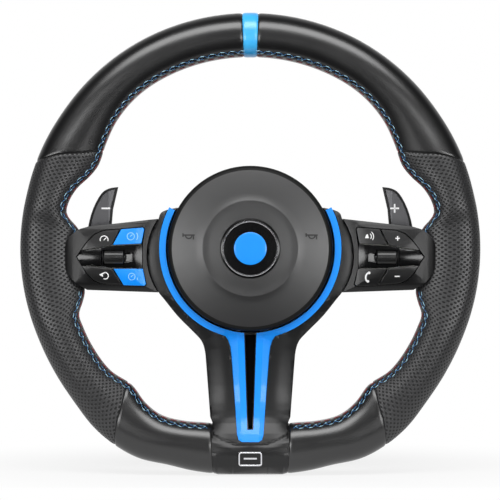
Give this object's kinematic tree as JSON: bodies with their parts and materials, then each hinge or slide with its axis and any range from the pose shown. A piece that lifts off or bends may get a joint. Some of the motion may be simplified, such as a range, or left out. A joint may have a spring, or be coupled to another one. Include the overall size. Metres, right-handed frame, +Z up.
{
  "type": "car steering wheel",
  "caption": "Flat-bottomed sports steering wheel with leather rim, blue trim, airbag cover that presses for the horn, switch pods and shift paddles.",
  "frame": {"origin": "mouth of the hub bore on the steering axis, at the back", "axes": "+Y back along the steering column, +Z up, +X to the driver's right; the face looks to -Y"},
  "size_m": [0.372, 0.0952, 0.3739],
  "materials": {
    "cast_alloy": "as cast",
    "steel": "bright zinc",
    "foam": "matt polyurethane foam",
    "smooth_leather": "smooth, satin",
    "perforated_leather": "perforated, matt",
    "blue_leather": "smooth, satin",
    "black_plastic": "fine grain, matt",
    "blue_trim": "satin lacquer",
    "gloss_black": "gloss",
    "cover_skin": "fine grain, matt",
    "bright": "satin chrome",
    "paddle_metal": "brushed, dark anodised",
    "silicone": "matt",
    "board": "solder mask",
    "airbag_cloth": "plain weave"
  },
  "bodies": {
    "wheel": {"armature": "cast_alloy", "hub_plate": "cast_alloy", "hub_insert": "steel", "rim_foam": "foam", "top_cover_left": "smooth_leather", "top_cover_right": "smooth_leather", "centre_band": "blue_leather", "grip_left": "perforated_leather", "grip_right": "perforated_leather", "bottom_cover_left": "smooth_leather", "bottom_cover_right": "smooth_leather", "spoke_cover": "black_plastic", "spoke_trim": "blue_trim", "slot_backing": "gloss_black", "plaque_frame": "bright", "plaque_plate": "gloss_black", "rear_cover": "black_plastic", "cover_screws": "steel", "switch_housing_left": "black_plastic", "switch_housing_right": "black_plastic", "roller_bezel_left": "gloss_black", "roller_bezel_right": "gloss_black", "roller_axle_left": "steel", "roller_axle_right": "steel", "key_mat_left": "silicone", "key_mat_right": "silicone", "switch_board_left": "board", "switch_board_right": "board", "paddle_pin_left": "steel", "paddle_pin_right": "steel", "paddle_bracket_left": "black_plastic", "paddle_bracket_right": "black_plastic", "horn_springs": "steel"},
    "airbag_module": {"airbag_cover": "cover_skin", "emblem_base": "gloss_black", "emblem_ring": "bright", "emblem_disc": "blue_trim", "airbag_tray": "steel", "gas_generator": "steel", "bag_retainer": "steel", "retainer_nuts": "steel", "folded_airbag": "airbag_cloth", "guide_pins": "steel"},
    "upper_outer_key_left": {"upper_outer_key_left": "black_plastic"},
    "upper_inner_key_left": {"upper_inner_key_left": "blue_trim"},
    "lower_inner_key_left": {"lower_inner_key_left": "blue_trim"},
    "lower_outer_key_left": {"lower_outer_key_left": "black_plastic"},
    "point_key_left": {"point_key_left": "gloss_black"},
    "roller_left": {"roller_left": "black_plastic"},
    "paddle_left": {"paddle_left": "gloss_black", "paddle_face_left": "paddle_metal"},
    "upper_outer_key_right": {"upper_outer_key_right": "black_plastic"},
    "upper_inner_key_right": {"upper_inner_key_right": "black_plastic"},
    "lower_inner_key_right": {"lower_inner_key_right": "black_plastic"},
    "lower_outer_key_right": {"lower_outer_key_right": "black_plastic"},
    "point_key_right": {"point_key_right": "gloss_black"},
    "roller_right": {"roller_right": "black_plastic"},
    "paddle_right": {"paddle_right": "gloss_black", "paddle_face_right": "paddle_metal"}
  },
  "joints": [
    {"name": "horn_press", "type": "slide", "parent": "wheel", "child": "airbag_module", "axis": [0, 1, 0], "range_m": [0, 0.0018], "stiffness_N_per_m": 4000, "deforming": ["horn_springs"]},
    {"name": "upper_outer_press_left", "type": "slide", "parent": "wheel", "child": "upper_outer_key_left", "axis": [0, 1, 0], "range_m": [0, 0.0007], "stiffness_N_per_m": 150},
    {"name": "upper_inner_press_left", "type": "slide", "parent": "wheel", "child": "upper_inner_key_left", "axis": [0, 1, 0], "range_m": [0, 0.0007], "stiffness_N_per_m": 150},
    {"name": "lower_inner_press_left", "type": "slide", "parent": "wheel", "child": "lower_inner_key_left", "axis": [0, 1, 0], "range_m": [0, 0.0007], "stiffness_N_per_m": 150},
    {"name": "lower_outer_press_left", "type": "slide", "parent": "wheel", "child": "lower_outer_key_left", "axis": [0, 1, 0], "range_m": [0, 0.0007], "stiffness_N_per_m": 150},
    {"name": "point_press_left", "type": "slide", "parent": "wheel", "child": "point_key_left", "axis": [0, 1, 0], "range_m": [0, 0.0007], "stiffness_N_per_m": 150},
    {"name": "roller_turn_left", "type": "hinge", "parent": "wheel", "child": "roller_left", "pos_m": [-0.1099, -0.0834, -0.0071], "axis": [1, 0, 0], "range_deg": [-12, 12], "stiffness_Nm_per_rad": 0.01},
    {"name": "paddle_pull_left", "type": "hinge", "parent": "wheel", "child": "paddle_left", "pos_m": [-0.067, -0.036, 0], "axis": [0, 0, 1], "range_deg": [0, 3.2], "stiffness_Nm_per_rad": 0.4},
    {"name": "upper_outer_press_right", "type": "slide", "parent": "wheel", "child": "upper_outer_key_right", "axis": [0, 1, 0], "range_m": [0, 0.0007], "stiffness_N_per_m": 150},
    {"name": "upper_inner_press_right", "type": "slide", "parent": "wheel", "child": "upper_inner_key_right", "axis": [0, 1, 0], "range_m": [0, 0.0007], "stiffness_N_per_m": 150},
    {"name": "lower_inner_press_right", "type": "slide", "parent": "wheel", "child": "lower_inner_key_right", "axis": [0, 1, 0], "range_m": [0, 0.0007], "stiffness_N_per_m": 150},
    {"name": "lower_outer_press_right", "type": "slide", "parent": "wheel", "child": "lower_outer_key_right", "axis": [0, 1, 0], "range_m": [0, 0.0007], "stiffness_N_per_m": 150},
    {"name": "point_press_right", "type": "slide", "parent": "wheel", "child": "point_key_right", "axis": [0, 1, 0], "range_m": [0, 0.0007], "stiffness_N_per_m": 150},
    {"name": "roller_turn_right", "type": "hinge", "parent": "wheel", "child": "roller_right", "pos_m": [0.1099, -0.0834, -0.0071], "axis": [1, 0, 0], "continuous": true},
    {"name": "paddle_pull_right", "type": "hinge", "parent": "wheel", "child": "paddle_right", "pos_m": [0.067, -0.036, 0], "axis": [0, 0, -1], "range_deg": [0, 3.2], "stiffness_Nm_per_rad": 0.4}
  ]
}
